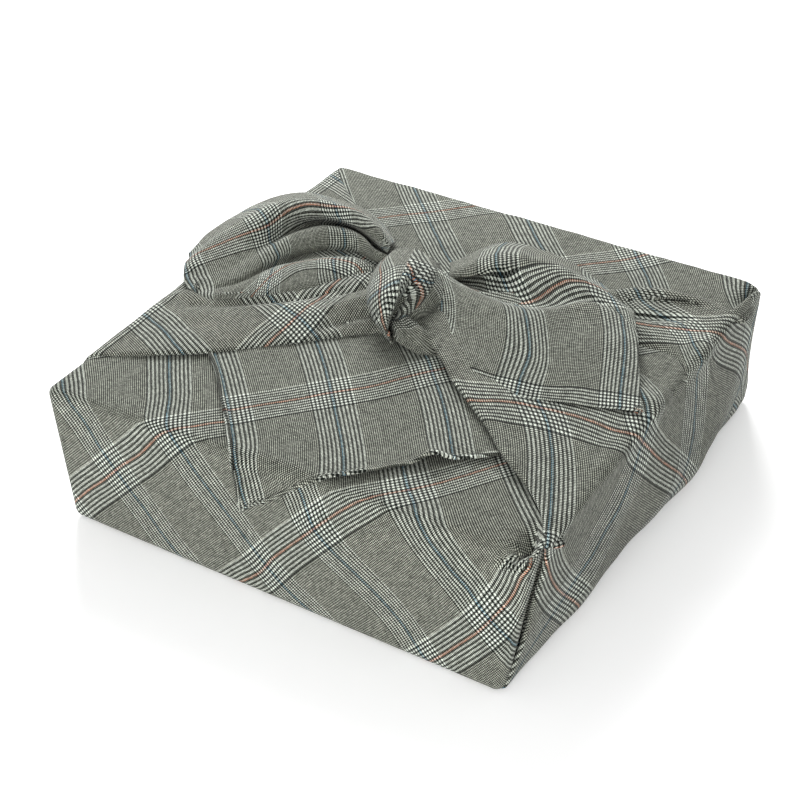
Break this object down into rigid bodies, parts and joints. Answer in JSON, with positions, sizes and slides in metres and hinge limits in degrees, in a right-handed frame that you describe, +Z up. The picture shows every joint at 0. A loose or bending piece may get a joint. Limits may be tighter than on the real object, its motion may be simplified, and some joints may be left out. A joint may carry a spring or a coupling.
{
  "type": "furoshiki wrap",
  "caption": "Square checked cloth folded round a flat box, its pointed back flap over the front edge and its sides tied in a square knot on top.",
  "frame": {"origin": "middle of the wrapped box's footprint, on the surface it stands on", "axes": "+Z up, +X along the front face to its right, +Y from the front face to the back"},
  "size_m": [0.3491, 0.3485, 0.1393],
  "materials": {
    "checked_cloth": "matte twill in a glen check of off-white and dark green-grey with thin blue and rust lines"
  },
  "bodies": {
    "root": {"furoshiki_cloth": "checked_cloth"}
  },
  "joints": []
}
